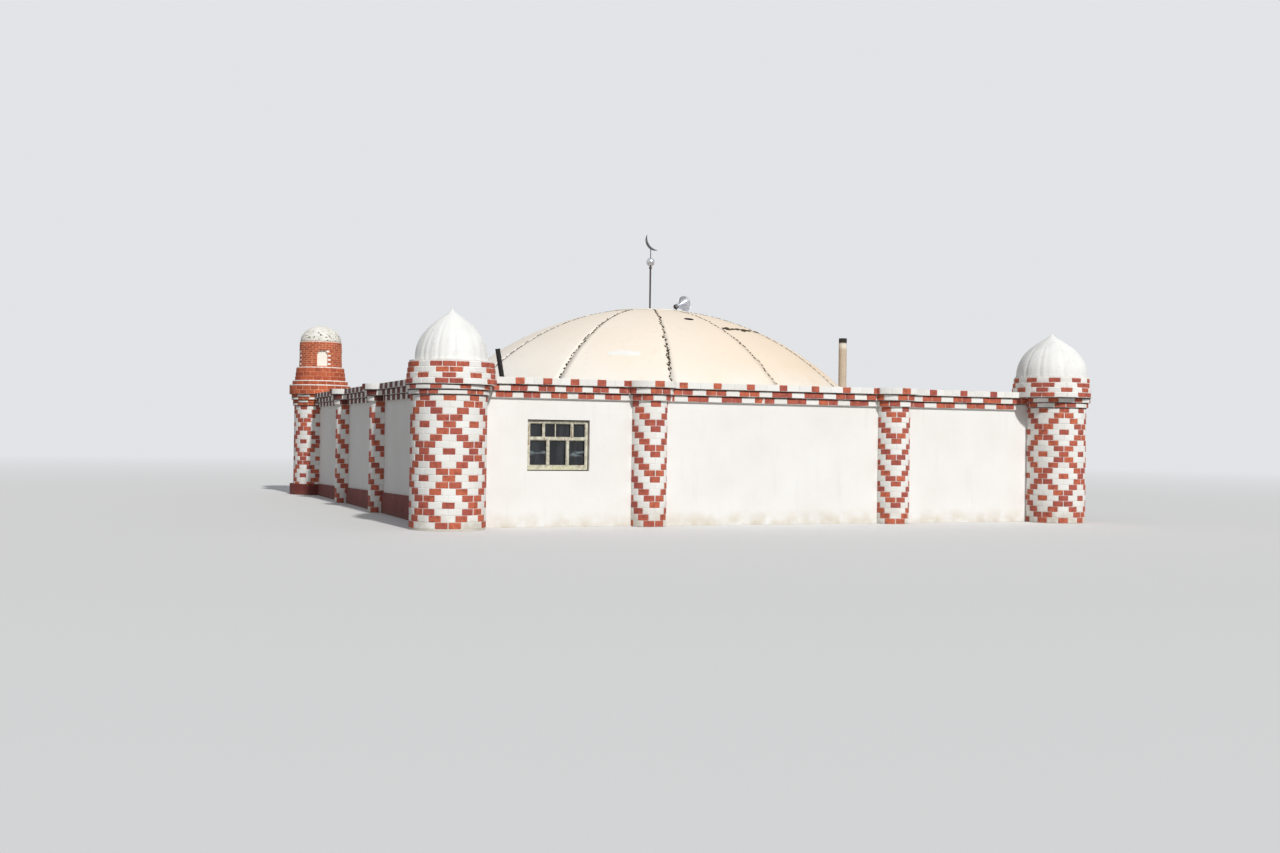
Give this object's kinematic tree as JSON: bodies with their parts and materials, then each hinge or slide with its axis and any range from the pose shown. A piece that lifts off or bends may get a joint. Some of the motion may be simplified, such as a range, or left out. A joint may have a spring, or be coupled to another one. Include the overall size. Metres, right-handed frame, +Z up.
{
  "type": "domed prayer house with round corner towers",
  "caption": "Single-storey whitewashed brick building with a low gored dome, a crescent finial, patterned round corner towers and a stepped brick cornice",
  "frame": {"origin": "on the flat underside of the floor, at the middle of the rectangle of the four tower axes, at the lowest ground level at the building's foot", "axes": "+X to the right along the front, -Y the way the front faces, +Z up"},
  "size_m": [16.7498, 18.2699, 7.4695],
  "materials": {
    "floor": "screeded concrete",
    "whitewash": "whitewashed plaster on brick",
    "plinth_paint": "dark red painted plaster",
    "patterned_brick": "brick, part painted white, with thick light joints",
    "white_sheet": "old white painted sheet",
    "roof": "weathered cement roofing",
    "cream_sheet": "cream painted sheet, weathered",
    "dark_metal": "dark painted steel",
    "bright_metal": "satin",
    "grey_metal": "grey painted sheet",
    "pipe_cement": "rough fibre cement",
    "sooty_iron": "sooty",
    "old_timber": "flaking grey-white paint",
    "glass": "dusty",
    "door_timber": "old brown paint"
  },
  "bodies": {
    "root": {"floor_slab": "floor", "front_wall": "whitewash", "back_wall": "whitewash", "left_wall": "whitewash", "right_wall": "whitewash", "left_plinth": "plinth_paint", "tower_plinth": "plinth_paint", "front_left_shaft": "patterned_brick", "front_right_shaft": "patterned_brick", "back_left_shaft": "patterned_brick", "back_right_shaft": "patterned_brick", "front_columns": "patterned_brick", "back_columns": "patterned_brick", "side_columns": "patterned_brick", "front_cornice": "patterned_brick", "back_cornice": "patterned_brick", "left_cornice": "patterned_brick", "right_cornice": "patterned_brick", "front_left_head": "patterned_brick", "front_right_head": "patterned_brick", "back_right_head": "patterned_brick", "front_left_onion": "white_sheet", "front_right_onion": "white_sheet", "back_right_onion": "white_sheet", "minaret_collar": "patterned_brick", "minaret_drum": "patterned_brick", "minaret_lantern": "patterned_brick", "minaret_cap": "white_sheet", "roof_slab": "roof", "roof_ring": "roof", "dome_gores_front": "cream_sheet", "dome_gores_right": "cream_sheet", "dome_gores_back": "cream_sheet", "dome_gores_left": "cream_sheet", "dome_cap": "cream_sheet", "finial_rod": "dark_metal", "finial_ball": "bright_metal", "finial_crescent": "bright_metal", "speaker_horn": "grey_metal", "speaker_stand": "dark_metal", "chimney_pipe": "pipe_cement", "stovepipe": "sooty_iron", "window_frames": "old_timber", "window_glass": "glass", "door_frame": "door_timber", "door_leaves": "door_timber"}
  },
  "joints": []
}
